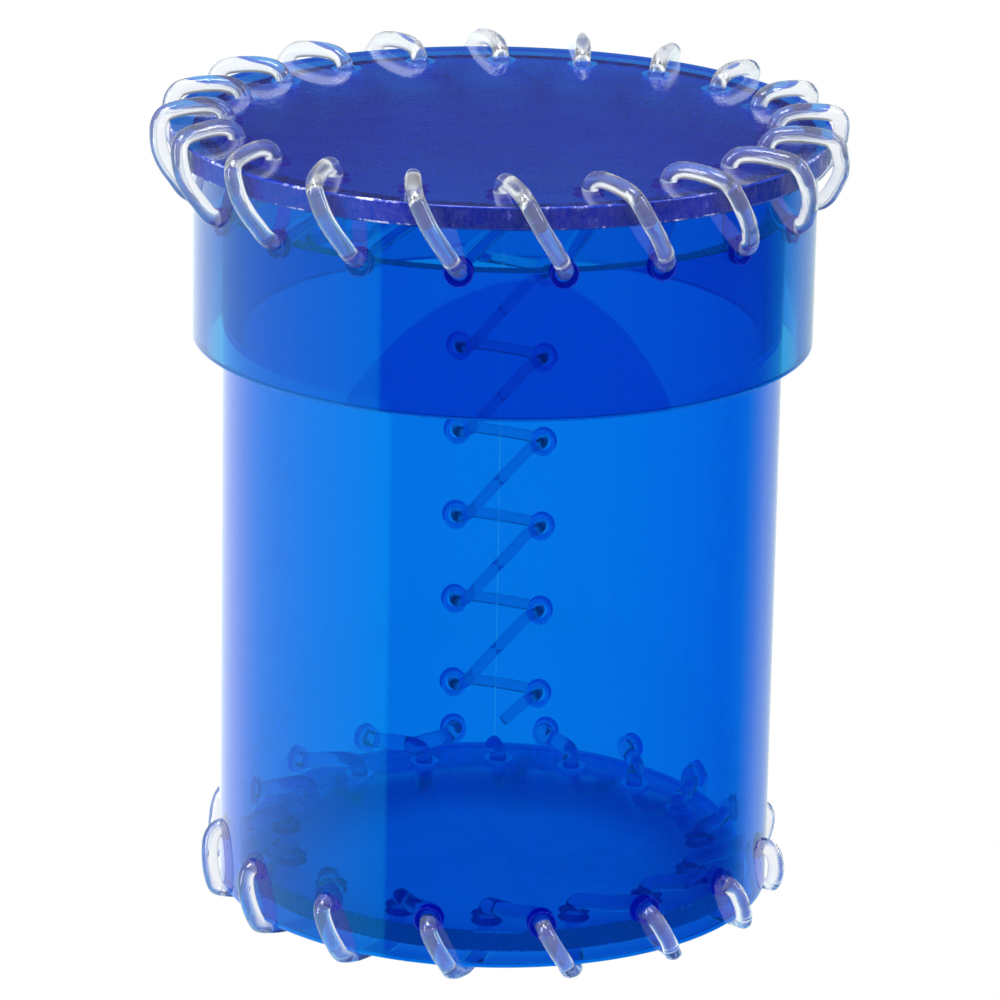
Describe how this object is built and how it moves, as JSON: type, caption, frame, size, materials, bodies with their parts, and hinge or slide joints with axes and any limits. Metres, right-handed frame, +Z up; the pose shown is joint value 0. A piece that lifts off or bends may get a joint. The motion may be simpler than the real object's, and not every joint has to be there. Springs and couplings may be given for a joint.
{
  "type": "laced dice cup with lid",
  "caption": "Cylindrical dice cup of rolled translucent sheet with a set-in base and a lift-off lid, whipped together with clear round cord.",
  "frame": {"origin": "on the cup's axis, in the plane that the cup stands on, which is the underside of the base lace", "axes": "+Z up along the cup's axis, -Y the front, +Y through the cup's butted seam"},
  "size_m": [0.0989, 0.0988, 0.1169],
  "materials": {
    "cup_sheet": "clear tinted flexible sheet, high gloss",
    "base_sheet": "clear tinted flexible sheet, gloss faces, rough-cut edge",
    "band_sheet": "clear tinted flexible sheet, high gloss",
    "disc_sheet": "clear tinted flexible sheet, gloss faces, rough-cut edge",
    "whipping_cord": "clear round plastic cord, gloss",
    "seam_cord": "clear round plastic cord, gloss"
  },
  "bodies": {
    "cup": {"cup_wall": "cup_sheet", "cup_base": "base_sheet", "cup_seam_lace": "seam_cord", "base_lace": "whipping_cord"},
    "lid": {"lid_band": "band_sheet", "lid_disc": "disc_sheet", "lid_rim_lace": "whipping_cord", "lid_seam_lace": "seam_cord"}
  },
  "joints": [
    {"name": "lid_lift", "type": "slide", "parent": "cup", "child": "lid", "axis": [0, 0, 1], "range_m": [0, 0.045]}
  ]
}
